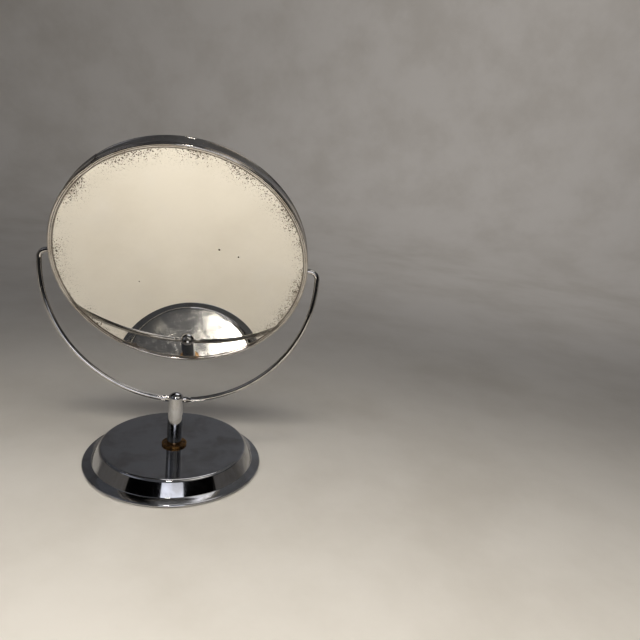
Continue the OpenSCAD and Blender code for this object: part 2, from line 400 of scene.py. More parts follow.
@dataclass(frozen=True)
class ZincSteel(Finish):
    """Steel that is zinc-plated, blued or bare. It is greyish and soft in gloss, with a blotchy tint."""

    tint_colour: str = "#9a978a"
    cloud_mm: float = 3.0
    cloud_band: Point = (0.35, 0.65)
    cloud_roughness: float = 0.18
    grain_mm: float = 0.35
    grain_depth_mm: float = 0.004

    def paint(self, tree: bpy.types.NodeTree, shader: bpy.types.Node, where: Socket) -> None:
        """Adds the blotchy tint and a fine rolled grain."""
        blotch = cloudy(tree, where, self.cloud_mm, detail=5.0, roughness=0.6, distortion=0.8)
        cloud = ranged(tree, blotch, *self.cloud_band)
        grain = cloudy(tree, where, self.grain_mm, detail=2.0)
        rough = math_node(tree, "MULTIPLY_ADD", cloud, self.cloud_roughness, self.gloss_roughness)
        self.connect(
            tree, shader,
            Base_Color=blended(tree, cloud, linear(self.body_colour), linear(self.tint_colour)),
            Roughness=rough,
            Normal=self.relief(tree, grain, self.grain_depth_mm),
        )


@dataclass(frozen=True)
class CastIron(Finish):
    """Sand-cast grey iron, as poured. It is dark and granular, with brown bloom in its hollows."""

    rust_colour: str = "#5a3a24"
    sand_mm: float = 0.5
    sand_depth_mm: float = 0.12
    bloom_mm: float = 9.0
    bloom_band: Point = (0.48, 0.70)
    sand_roughness: Point = (0.55, 0.85)

    def paint(self, tree: bpy.types.NodeTree, shader: bpy.types.Node, where: Socket) -> None:
        """Adds sand grain relief and patches of rust bloom."""
        sand = cloudy(tree, where, self.sand_mm, detail=6.0, roughness=0.7)
        bloom = ranged(tree, cloudy(tree, where, self.bloom_mm, detail=6.0, roughness=0.7), *self.bloom_band)
        self.connect(
            tree, shader,
            Base_Color=blended(tree, bloom, linear(self.body_colour), linear(self.rust_colour)),
            Metallic=ranged(tree, bloom, 0.0, 1.0, self.metallic, 0.0),
            Roughness=ranged(tree, sand, 0.3, 0.7, *self.sand_roughness),
            Normal=self.relief(tree, sand, self.sand_depth_mm),
        )


@dataclass(frozen=True)
class BlackJapan(Finish):
    """Black stoving paint on steel sheet. It is semi-gloss with orange peel, and grey where it is worn."""

    bare_colour: str = "#8d8f90"
    dust_colour: str = "#4b4a47"
    peel_mm: float = 0.7
    peel_depth_mm: float = 0.01
    worn_cell_mm: float = 5.0
    worn_reach: float = 0.16
    dust_mm: float = 12.0
    most_dust: float = 0.35
    dust_roughness: float = 0.6

    def paint(self, tree: bpy.types.NodeTree, shader: bpy.types.Node, where: Socket) -> None:
        """Adds orange peel and small rubbed-through spots."""
        peel = cloudy(tree, where, self.peel_mm, detail=2.0)
        worn = specks(tree, where, self.worn_cell_mm, self.worn_reach)
        settled = cloudy(tree, where, self.dust_mm, detail=6.0, roughness=0.7)
        dust = ranged(tree, settled, 0.4, 0.75, 0.0, self.most_dust)
        painted = blended(tree, dust, linear(self.body_colour), linear(self.dust_colour))
        self.connect(
            tree, shader,
            Base_Color=blended(tree, worn, painted, linear(self.bare_colour)),
            Metallic=worn,
            Roughness=ranged(tree, dust, 0.0, self.most_dust, self.gloss_roughness, self.dust_roughness),
            Normal=self.relief(tree, peel, self.peel_depth_mm),
        )


@dataclass(frozen=True)
class WoolFelt(Finish):
    """Pressed wool felt. It is matt, with matted fibres that catch light at a glancing angle."""

    pale_colour: str = "#3f5a45"
    lint_colour: str = "#a7a294"
    fibre_mm: float = 0.9
    fibre_depth_mm: float = 0.12
    patch_mm: float = 14.0
    lint_cell_mm: float = 7.0
    lint_reach: float = 0.07

    def paint(self, tree: bpy.types.NodeTree, shader: bpy.types.Node, where: Socket) -> None:
        """Adds matted fibres, lint and a little fuzz sheen."""
        shader.inputs["Sheen Weight"].default_value = 0.35
        shader.inputs["Sheen Roughness"].default_value = 0.6
        shader.inputs["Specular IOR Level"].default_value = 0.15
        fibres = cloudy(tree, where, self.fibre_mm, detail=8.0, roughness=0.75, distortion=2.5)
        patches = cloudy(tree, where, self.patch_mm, detail=3.0)
        lint = specks(tree, where, self.lint_cell_mm, self.lint_reach)
        share = math_node(tree, "MULTIPLY", ranged(tree, fibres, 0.35, 0.65), ranged(tree, patches, 0.2, 0.7))
        tone = blended(tree, share, linear(self.body_colour), linear(self.pale_colour))
        self.connect(
            tree, shader,
            Base_Color=blended(tree, lint, tone, linear(self.lint_colour)),
            Roughness=ranged(tree, fibres, 0.3, 0.7, 0.88, 1.0),
            Normal=self.relief(tree, fibres, self.fibre_depth_mm),
        )


@dataclass(frozen=True)
class GreyCard(Finish):
    """Grey-brown millboard. It is matt and fibrous, with darker flecks in the pulp."""

    fleck_colour: str = "#6b5c47"
    pulp_mm: float = 1.2
    pulp_depth_mm: float = 0.05

    def paint(self, tree: bpy.types.NodeTree, shader: bpy.types.Node, where: Socket) -> None:
        """Adds pulp flecks and a soft fibrous relief."""
        pulp = cloudy(tree, where, self.pulp_mm, detail=8.0, roughness=0.7, distortion=1.0)
        fleck = ranged(tree, pulp, 0.52, 0.68)
        self.connect(
            tree, shader,
            Base_Color=blended(tree, fleck, linear(self.body_colour), linear(self.fleck_colour)),
            Roughness=ranged(tree, pulp, 0.3, 0.7, 0.8, 0.95),
            Normal=self.relief(tree, pulp, self.pulp_depth_mm),
        )


@dataclass(frozen=True)
class SilveredGlass(Finish):
    """Glass silvered on its back: a clear mirror, warmed a little by old silver and thick glass.

    Damp has crept in round the rim and lifted the silver in fine brown-black specks, which crowd
    together at the edge, thin out over a centimetre or so, and leave a few strays further in.
    """

    fox_colour: str = "#5c4f3e"
    stain_colour: str = "#8c7c62"
    visible_radius_mm: float = 69.0
    fox_width_mm: float = 19.0
    fox_strength: float = 1.0
    fox_crowding: float = 2.2
    patch_mm: float = 24.0
    patch_band: Point = (0.30, 0.62)
    patch_share: Point = (0.25, 1.35)
    wobble_mm: float = 0.8
    wobble_reach_mm: float = 0.4
    fine_cell_mm: float = 0.55
    fine_reach: float = 1.15
    middling_cell_mm: float = 1.15
    middling_reach: float = 0.62
    stray_cell_mm: float = 11.0
    stray_reach: float = 0.07
    smoke_mm: float = 1.1
    smoke_band: Point = (0.50, 0.72)
    most_smoke: float = 0.75
    # The dark ring at the very edge of the glass is painted shade of the gap under the rim's lip, with some
    # real grime.
    edge_shade_and_grime_mm: float = 0.55
    edge_shade_and_grime_fade: float = 1.5
    edge_shade_and_grime_strength: float = 0.85
    stain_band: Point = (0.30, 0.80)
    stain_strength: float = 0.55
    smear_mm: float = 30.0
    smear_roughness: float = 0.025
    to_local: Tuple[Triple, Triple] = (ORIGIN, ORIGIN)

    def local(self, tree: bpy.types.NodeTree, where: Socket) -> Socket:
        """Turns frame coordinates into ones centred on the glass, with z along its axis."""
        shift, turn = self.to_local
        return add_node(tree, "ShaderNodeMapping",
                        {"Vector": where, "Location": shift, "Rotation": turn}).outputs[0]

    def paint(self, tree: bpy.types.NodeTree, shader: bpy.types.Node, where: Socket) -> None:
        """Adds the ring of foxing, the stray specks, the edge's stain, a dark ring at the very edge that is
        partly grime and partly painted shade of the gap under the rim's lip, and a wiped haze.
        """
        shader.inputs["Coat Weight"].default_value = 1.0
        shader.inputs["Coat Roughness"].default_value = 0.01
        shader.inputs["Coat IOR"].default_value = 1.5
        place = self.local(tree, where)
        flat = add_node(tree, "ShaderNodeVectorMath", {0: place, 1: (1.0, 1.0, 0.0)}, operation="MULTIPLY")
        length = add_node(tree, "ShaderNodeVectorMath", {0: flat.outputs[0]}, operation="LENGTH")
        radius = length.outputs["Value"]
        outer, inner = self.visible_radius_mm * MM, (self.visible_radius_mm - self.fox_width_mm) * MM
        ramp = math_node(tree, "DIVIDE", math_node(tree, "SUBTRACT", radius, inner), outer - inner)
        ramp = math_node(tree, "MAXIMUM", ramp, 0.0)
        patchy = cloudy(tree, flat.outputs[0], self.patch_mm, detail=3.0, roughness=0.6)
        crowd = math_node(tree, "MULTIPLY", math_node(tree, "POWER", ramp, self.fox_crowding),
                          ranged(tree, patchy, *self.patch_band, *self.patch_share))
        crowd = math_node(tree, "MULTIPLY", crowd, self.fox_strength)
        noise_links = {"Vector": flat.outputs[0], "Scale": per_metre(self.wobble_mm)}
        wobble = add_node(tree, "ShaderNodeTexNoise", noise_links)
        shake = (self.wobble_reach_mm * MM, self.wobble_reach_mm * MM, 0.0)
        shaken_links = {0: wobble.outputs["Color"], 1: shake, 2: flat.outputs[0]}
        shaken = add_node(tree, "ShaderNodeVectorMath", shaken_links, operation="MULTIPLY_ADD").outputs[0]
        fine_reach = math_node(tree, "MULTIPLY", crowd, self.fine_reach)
        fine = specks(tree, shaken, self.fine_cell_mm, fine_reach)
        middling_reach = math_node(tree, "MULTIPLY", crowd, self.middling_reach)
        middling = specks(tree, shaken, self.middling_cell_mm, middling_reach)
        strays = specks(tree, shaken, self.stray_cell_mm, self.stray_reach)
        wisps = cloudy(tree, flat.outputs[0], self.smoke_mm, detail=6.0, roughness=0.8, distortion=0.5)
        smoke = math_node(tree, "MULTIPLY", ranged(tree, wisps, *self.smoke_band),
                          math_node(tree, "MINIMUM", crowd, self.most_smoke))
        foxing_and_edge_shade = math_node(tree, "MAXIMUM", math_node(tree, "MAXIMUM", fine, middling),
                        math_node(tree, "MAXIMUM", strays, smoke))
        # Painted shade with some grime: a dark ring just inside the lip stands in for the shadow and
        # reflection of the lip's gap on the glass.
        ring = self.edge_shade_and_grime_mm * MM
        edge_shade_and_grime = ranged(tree, radius, outer - ring * self.edge_shade_and_grime_fade, outer - ring, 0.0, self.edge_shade_and_grime_strength)
        foxing_and_edge_shade = math_node(tree, "MAXIMUM", foxing_and_edge_shade, edge_shade_and_grime)
        stained = math_node(tree, "MULTIPLY", crowd, patchy)
        stain = ranged(tree, stained, *self.stain_band, 0.0, self.stain_strength)
        clean = blended(tree, stain, linear(self.body_colour), linear(self.stain_colour))
        wiped = cloudy(tree, flat.outputs[0], self.smear_mm, detail=4.0, roughness=0.6, distortion=1.5)
        smear = ranged(tree, wiped, 0.5, 0.8, 0.0, self.smear_roughness)
        self.connect(
            tree, shader,
            Base_Color=blended(tree, foxing_and_edge_shade, clean, linear(self.fox_colour)),
            Metallic=ranged(tree, foxing_and_edge_shade, 0.0, 1.0, 1.0, 0.15),
            Roughness=math_node(tree, "MULTIPLY_ADD", foxing_and_edge_shade, 0.5,
                                math_node(tree, "ADD", smear, self.gloss_roughness)),
        )


@dataclass(frozen=True)
class GroundGlassEdge(Finish):
    """The ground edge of sheet glass. It is greenish and frosted."""

    grain_colour: str = "#4f6258"
    grain_mm: float = 0.3
    grain_depth_mm: float = 0.02

    def paint(self, tree: bpy.types.NodeTree, shader: bpy.types.Node, where: Socket) -> None:
        """Adds grinding grain."""
        shader.inputs["IOR"].default_value = 1.52
        grain = cloudy(tree, where, self.grain_mm, detail=4.0, roughness=0.7)
        tone = blended(tree, grain, linear(self.body_colour), linear(self.grain_colour))
        self.connect(tree, shader, Base_Color=tone, Normal=self.relief(tree, grain, self.grain_depth_mm))


@dataclass(frozen=True)
class BackingPaint(Finish):
    """The red-brown lacquer that guards silvering. It is thin, streaky and semi-matt."""

    streak_colour: str = "#6e4433"
    streak_mm: float = 5.0
    streak_depth_mm: float = 0.02

    def paint(self, tree: bpy.types.NodeTree, shader: bpy.types.Node, where: Socket) -> None:
        """Adds brush streaks and thin places."""
        streaks = cloudy(tree, where, self.streak_mm, detail=6.0, roughness=0.7, distortion=1.2)
        share = ranged(tree, streaks, 0.3, 0.7)
        tone = blended(tree, share, linear(self.body_colour), linear(self.streak_colour))
        self.connect(tree, shader, Base_Color=tone, Normal=self.relief(tree, streaks, self.streak_depth_mm))


@dataclass(frozen=True)
class TentCloth(Finish):
    """The pale cotton of the studio floor and walls. It is matt, with soft creases and slight soiling."""

    soil_colour: str = "#8d8576"
    soil_mm: float = 120.0
    most_soil: float = 0.22
    crease_mm: float = 45.0
    crease_depth_mm: float = 0.5

    def paint(self, tree: bpy.types.NodeTree, shader: bpy.types.Node, where: Socket) -> None:
        """Adds a slight unevenness of tone, so that the floor isn't dead flat."""
        shader.inputs["Specular IOR Level"].default_value = 0.1
        soiled = cloudy(tree, where, self.soil_mm, detail=6.0, roughness=0.6)
        drift = ranged(tree, soiled, 0.35, 0.75, 0.0, self.most_soil)
        creases = cloudy(tree, where, self.crease_mm, detail=3.0, roughness=0.5, distortion=0.6)
        tone = blended(tree, drift, linear(self.body_colour), linear(self.soil_colour))
        self.connect(tree, shader, Base_Color=tone, Normal=self.relief(tree, creases, self.crease_depth_mm))


# ---------------------------------------------------------------- shapes


def filleted(corners: Sequence[Triple], step_degrees: float = 6.0) -> List[Point]:
    """Rounds the corners of a line of points.

    Args:
        corners: (radius, height, rounding) of each corner, in millimetres. The ends keep sharp.
        step_degrees: the angle of one facet of a rounding.

    Returns:
        The line's points.
    """
    line: List[Point] = []
    for i, (across, up, rounding) in enumerate(corners):
        here = Vector((across, up))
        if rounding <= 0 or i in (0, len(corners) - 1):
            line.append((across, up))
            continue
        back = (Vector(corners[i - 1][:2]) - here).normalized()
        ahead = (Vector(corners[i + 1][:2]) - here).normalized()
        half = back.angle(ahead) / 2
        centre = here + (back + ahead).normalized() * rounding / math.sin(half)
        start, end = here + back * rounding / math.tan(half), here + ahead * rounding / math.tan(half)
        turn = math.pi - 2 * half
        steps = max(2, math.ceil(math.degrees(turn) / step_degrees))
        sign = 1 if (start - centre).x * (end - centre).y - (start - centre).y * (end - centre).x > 0 else -1
        for k in range(steps + 1):
            spoke = (start - centre).copy()
            spoke.rotate(Matrix.Rotation(sign * turn * k / steps, 2))
            line.append(tuple(centre + spoke))
    return line


def offset(line: Sequence[Point], by_mm: float) -> List[Point]:
    """Shifts a line sideways, to its right as it runs.

    Args:
        line: the points, in millimetres.
        by_mm: how far it shifts.

    Returns:
        The shifted points.
    """
    shifted = []
    for i, point in enumerate(line):
        before, after = Vector(line[max(i - 1, 0)]), Vector(line[min(i + 1, len(line) - 1)])
        along = (after - before).normalized()
        shifted.append((point[0] + along.y * by_mm, point[1] - along.x * by_mm))
    return shifted


def arc(centre: Point, radius: float, start: float, end: float, steps: int) -> List[Point]:
    """Gives points on an arc.

    Args:
        centre: its centre, in millimetres.
        radius: its radius.
        start: its first angle, in degrees.
        end: its last angle.
        steps: how many pieces it is cut into.

    Returns:
        The points, both ends among them.
    """
    turns = [math.radians(start + (end - start) * k / steps) for k in range(steps + 1)]
    return [(centre[0] + radius * math.cos(t), centre[1] + radius * math.sin(t)) for t in turns]


def about_z(degrees: float) -> Matrix:
    """Gives the turn about the Z axis by an angle."""
    return Matrix.Rotation(math.radians(degrees), 3, "Z")


def spun(made: bmesh.types.BMesh, geom: Sequence[object], sweep: float, steps: int,
         merged: bool = False) -> None:
    """Spins part of a mesh about the Z axis, and keeps the faces that it sweeps.

    Args:
        made: the mesh.
        geom: the points and edges that are spun.
        sweep: how far they go round, in degrees.
        steps: how many facets that takes.
        merged: whether the last facet is joined to the first.
    """
    bmesh.ops.spin(made, geom=geom, cent=ORIGIN, axis=UPRIGHT, dvec=ORIGIN, angle=math.radians(sweep),
                   steps=steps, use_merge=merged)


def turned(section: Sequence[Point], steps: int = 192, start: float = 0.0,
           sweep: float = FULL_TURN) -> bmesh.types.BMesh:
    """Spins a closed section about the Z axis.

    Args:
        section: (radius, height) of each point, in millimetres. The last one joins the first.
        steps: how many facets go round.
        start: the angle where the spin starts, in degrees.
        sweep: how far it goes round. Less than 360 leaves two flat ends.

    Returns:
        The solid, in metres, with its normals outward.
    """
    made = bmesh.new()
    ring = [made.verts.new((across * MM, 0.0, up * MM)) for across, up in section]
    edges = [made.edges.new(pair) for pair in zip(ring, ring[1:] + ring[:1]) if pair[0] is not pair[1]]
    full = sweep >= FULL_TURN
    bmesh.ops.rotate(made, verts=ring, cent=ORIGIN, matrix=about_z(start))
    if not full:
        cap = made.faces.new(ring)
        swept = bmesh.ops.duplicate(made, geom=[cap] + list(cap.verts) + list(cap.edges))
        far = [g for g in swept["geom"] if isinstance(g, bmesh.types.BMVert)]
        bmesh.ops.rotate(made, verts=far, cent=ORIGIN, matrix=about_z(sweep))
    spun(made, ring + edges, sweep, steps, full)
    tidy(made)
    return made


def tidy(made: bmesh.types.BMesh) -> None:
    """Merges doubled points and turns every face outward."""
    bmesh.ops.remove_doubles(made, verts=made.verts, dist=SAME_POINT)
    bmesh.ops.dissolve_degenerate(made, dist=NO_LENGTH, edges=made.edges)
    bmesh.ops.recalc_face_normals(made, faces=made.faces)


def move(made: bmesh.types.BMesh, matrix: Matrix) -> None:
    """Places a mesh."""
    bmesh.ops.transform(made, matrix=matrix, verts=made.verts)


def crosswise(across: float, up: float, way: int = 1) -> Matrix:
    """Gives the place of a ring that faces along X, as a wire's end does.

    Args:
        across: its X, in millimetres.
        up: its Z.
        way: 1 where it faces +X, and -1 where it faces -X.

    Returns:
        The place, in metres.
    """
    return Matrix.Translation((across * MM, 0, up * MM)) @ Matrix.Rotation(way * math.pi / 2, 4, "Y")


def as_object(name: str, made: bmesh.types.BMesh) -> bpy.types.Object:
    """Makes an object of the scene from a mesh that is done, and frees the mesh's working copy.

    Args:
        name: the object's name.
        made: its mesh, in metres and in place.

    Returns:
        The object, at the origin.
    """
    mesh = bpy.data.meshes.new(name)
    made.to_mesh(mesh)
    made.free()
    placed = bpy.data.objects.new(name, mesh)
    bpy.context.scene.collection.objects.link(placed)
    return placed


def cut(piece: bpy.types.Object, tool: bmesh.types.BMesh) -> None:
    """Cuts a tool's shape out of a piece for good.

    Args:
        piece: the object that is cut.
        tool: the shape that is taken away, in the same place.
    """
    cutter = as_object("cutter", tool)
    bore = piece.modifiers.new("bore", "BOOLEAN")
    bore.operation, bore.solver, bore.object = "DIFFERENCE", "EXACT", cutter
    shaped = bpy.data.meshes.new_from_object(piece.evaluated_get(bpy.context.evaluated_depsgraph_get()))
    piece.modifiers.clear()
    piece.data = shaped
    bpy.data.objects.remove(cutter)


@dataclass
class WireSweep:
    """A round wire that is drawn along straights and bends, ring by ring."""

    radius_mm: float
    sides: int = 28
    made: bmesh.types.BMesh = field(default_factory=bmesh.new)
    ring: List[bmesh.types.BMEdge] = field(default_factory=list)

    def start(self, place: Matrix) -> "WireSweep":
        """Starts the wire with a ring whose Z axis is along it.

        Args:
            place: where the first ring is, in metres.

        Returns:
            The sweep.
        """
        bmesh.ops.create_circle(self.made, cap_ends=False, radius=self.radius_mm * MM, segments=self.sides,
                                matrix=place)
        self.ring = list(self.made.edges)
        return self

    def grow(self) -> List[bmesh.types.BMVert]:
        """Adds a ring on the last one, and returns its points, which are still in the last one's place."""
        grown = bmesh.ops.extrude_edge_only(self.made, edges=self.ring)["geom"]
        self.ring = [g for g in grown if isinstance(g, bmesh.types.BMEdge)]
        return [g for g in grown if isinstance(g, bmesh.types.BMVert)]

    def straight(self, along: Sequence[float], steps: int) -> "WireSweep":
        """Draws the wire straight on.

        Args:
            along: how far and which way, in millimetres.
            steps: how many rings it takes.

        Returns:
            The sweep.
        """
        for _ in range(steps):
            bmesh.ops.translate(self.made, verts=self.grow(), vec=Vector(along) * MM / steps)
        return self

    def bend(self, across: float, up: float, degrees: float, steps: int) -> "WireSweep":
        """Draws the wire round a bend that lies upright, in the plane of X and Z.

        Args:
            across: the X of the bend's centre, in millimetres.
            up: its Z.
            degrees: how far it turns, anticlockwise for whoever looks along +Y.
            steps: how many rings it takes.

        Returns:
            The sweep.
        """
        turn = Matrix.Rotation(math.radians(degrees / steps), 3, Vector((0, -1, 0)))
        for _ in range(steps):
            bmesh.ops.rotate(self.made, verts=self.grow(), cent=Vector((across, 0, up)) * MM, matrix=turn)
        return self

    def cap(self) -> None:
        """Closes both open ends."""
        rims = [e for e in self.made.edges if e.is_boundary]
        bmesh.ops.holes_fill(self.made, edges=rims, sides=0)
        tidy(self.made)


def make_piece(
    name: str,
    made: bmesh.types.BMesh,
    finishes: Sequence[Finish],
    body: Body,
    stands_for: str,
    crease_degrees: float = 40.0,
) -> bpy.types.Object:
    """Turns a mesh into a finished piece that rides on its body.

    Args:
        name: the piece's name.
        made: its mesh, in metres and in place.
        finishes: its materials, in the order of its faces' material numbers.
        body: the body that it moves with.
        stands_for: the CAD node that it replaces.
        crease_degrees: the angle past which an edge stays sharp.

    Returns:
        The piece's object.
    """
    piece = as_object(name, made)
    mesh = piece.data
    mesh.shade_smooth()
    mesh.set_sharp_from_angle(angle=math.radians(crease_degrees))
    for finish in finishes:
        mesh.materials.append(finish.material())
    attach(piece, body.value)
    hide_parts(stands_for)
    LOG.info("%s: %d faces, stands for %s", name, len(mesh.polygons), stands_for)
    return piece


def dress_node(node: str, finish: Finish) -> None:
    """Gives a carried CAD node its finish, and leaves its mesh alone.

    Args:
        node: the node's name.
        finish: what it is made of.
    """
    kept = frame["nodes"][node]
    kept.data.materials.clear()
    kept.data.materials.append(finish.material())
    LOG.info("%s: kept, finished as %s", node, finish.name)


def dress_nodes(finishes: Dict[str, Finish]) -> None:
    """Gives each kept CAD node the finish that stands beside its name."""
    for node, finish in finishes.items():
        dress_node(node, finish)


def joint_place(name: str) -> Vector:
    """Gives a joint's place from the frame, in metres."""
    return Vector(next(j for j in frame["joints"] if j["name"] == name)["pos_m"])


# ---------------------------------------------------------------- the finishes of this mirror

# The pressed sheet has the longest, deepest waves. The rod, wire and band are worked finer.
CHROME_SHEET = ChromePlate("chrome_plate_pressed_sheet")
CHROME_ROD = ChromePlate(
    "chrome_plate_turned_rod", haze_mm=8.0, haze_roughness=0.06, scratch_mm=0.5, scratch_length_mm=6.0,
    scratch_roughness=0.12, pit_cell_mm=2.4, wave_mm=9.0, wave_depth_mm=0.008)
CHROME_WIRE = ChromePlate(
    "chrome_plate_drawn_wire", body_colour="#cfccc8", haze_mm=10.0, haze_roughness=0.04, scratch_mm=0.4,
    scratch_length_mm=5.0, pit_cell_mm=2.0, pit_reach=0.16, wave_mm=7.0, wave_depth_mm=0.010)
CHROME_BAND = ChromePlate(
    "chrome_plate_rolled_band", body_colour="#cdc8c1", gloss_roughness=0.07, haze_colour="#b3aba1",
    haze_mm=12.0, haze_roughness=0.09, scratch_mm=0.6, scratch_length_mm=22.0, pit_cell_mm=2.2,
    pit_reach=0.18, wave_mm=12.0, wave_depth_mm=0.016)
WASHER_BRASS = TarnishedBrass("brass_tarnished_washer", body_colour="#a5783f", gloss_roughness=0.22)
BUSH_BRASS = TarnishedBrass("brass_bush", body_colour="#c49a58", gloss_roughness=0.20, stain_mm=1.2)
ZINC = ZincSteel("steel_zinc_plated", body_colour="#bfc1c0", gloss_roughness=0.24)
BLUED = ZincSteel("steel_spring_blued", body_colour="#8a8f99", tint_colour="#5d6270", gloss_roughness=0.28)
STRAP = ZincSteel("steel_strip_rolled", body_colour="#a9aaa8", gloss_roughness=0.30, cloud_mm=5.0)
BALLAST_IRON = CastIron("iron_sand_cast", body_colour="#4c4b4a", metallic=0.6)
COVER_PAINT = BlackJapan("paint_black_stoved", body_colour="#17181a", metallic=0.0, gloss_roughness=0.32)
BAIZE = WoolFelt("felt_pressed_wool", body_colour="#22382a", metallic=0.0)
CARD = GreyCard("card_millboard", body_colour="#a08f73", metallic=0.0)
GLASS_EDGE = GroundGlassEdge("glass_ground_edge", body_colour="#8fa697", metallic=0.0, gloss_roughness=0.35)
LACQUER = BackingPaint("lacquer_mirror_backing", body_colour="#4b2c22", metallic=0.0, gloss_roughness=0.5)


# ---------------------------------------------------------------- the mirror's own parts


@dataclass
class Base:
    """The pressed chrome base with its weight, cover, felt and brass washer."""

    hole_r: float = 2.55
    seat_z: float = 10.5
    seat_r: float = 11.0
    seat_round: float = 60.0
    dish: Tuple[Point, ...] = ((22.0, 10.66), (33.0, 10.98))
    dish_round: float = 350.0
    shoulder_r: float = 43.6
    shoulder_z: float = 11.4
    shoulder_round: float = 2.2
    foot_r: float = 48.0
    foot_z: float = 2.9
    foot_round: float = 0.6
    lip_mid_r: float = 52.6
    lip_mid_z: float = 1.2
    lip_r: float = 0.9
    lip_lap: float = 0.2
    lip_curl: Point = (88.0, -190.0)
    flange_z: float = 2.1
    sheet_t: float = 0.8
    washer_r: float = 7.5
    washer_t: float = 1.2
    washer_edge: float = 0.22
    felt_r: float = 51.2
    felt_t: float = 0.78
    felt_round: Point = (0.3, 0.25)
    felt_lift: float = 0.025
    felt_wave: float = 4.0

    def pressing(self) -> bpy.types.Object:
        """Spins the pressed sheet, from the screw hole out to its curled lip."""
        outside = filleted([
            (self.hole_r, self.seat_z, 0), (self.seat_r, self.seat_z, self.seat_round),
            *((r, z, self.dish_round) for r, z in self.dish),
            (self.shoulder_r, self.shoulder_z, self.shoulder_round),
            (self.foot_r, self.foot_z, self.foot_round),
            (self.lip_mid_r - self.lip_lap, self.flange_z, 0),
        ])
        inside = offset(outside, self.sheet_t)
        curl = arc((self.lip_mid_r, self.lip_mid_z), self.lip_r, *self.lip_curl, steps=30)
        section = outside + curl + [p for p in reversed(inside) if p[0] < self.lip_mid_r - self.lip_r]
        made = turned(section, steps=256)
        return make_piece("base_pressing", made, [CHROME_SHEET], Body.BASE, "base_shell")

    def washer(self) -> bpy.types.Object:
        """Spins the wide washer that the post turns on."""
        low, high, edge = self.seat_z, self.seat_z + self.washer_t, self.washer_edge
        middle, closing_gap = (low + high) / 2, 0.01
        section = filleted([
            (self.hole_r, middle, 0), (self.hole_r, low, edge), (self.washer_r, low, edge),
            (self.washer_r, high, edge), (self.hole_r, high, edge), (self.hole_r, middle + closing_gap, 0),
        ], step_degrees=22.0)
        made = turned(section, steps=96)
        return make_piece("brass_washer_turned", made, [WASHER_BRASS], Body.BASE, "brass_washer")

    def felt(self) -> bpy.types.Object:
        """Makes the felt disc, with a soft edge and a slightly uneven face."""
        steps, margin, low = 12, 1.0, 0.1
        under = [(self.felt_r * k / steps, 0.0) for k in range(steps)]
        over = [(self.felt_r * k / steps, self.felt_t) for k in reversed(range(steps))]
        edge = filleted([
            (self.felt_r - margin, 0, 0), (self.felt_r, 0, self.felt_round[0]),
            (self.felt_r, self.felt_t, self.felt_round[1]), (self.felt_r - margin, self.felt_t, 0),
        ], step_degrees=20.0)
        made = turned(under + edge + over, steps=128)
        for point in made.verts:
            if point.co.z < low * MM:
                point.co.z += self.felt_lift * MM * (1 + noise.noise(point.co * per_metre(self.felt_wave)))
        felt = make_piece("felt_underlay", made, [BAIZE], Body.BASE, "felt_pad",
                          crease_degrees=60.0)
        return felt

    def build(self) -> List[bpy.types.Object]:
        """Builds the new pieces and dresses the kept nodes.

        Returns:
            The new pieces.
        """
        dress_nodes({"ballast_disc": BALLAST_IRON, "bottom_cover": COVER_PAINT, "spring_washer": BLUED})
        return [self.pressing(), self.washer(), self.felt()]


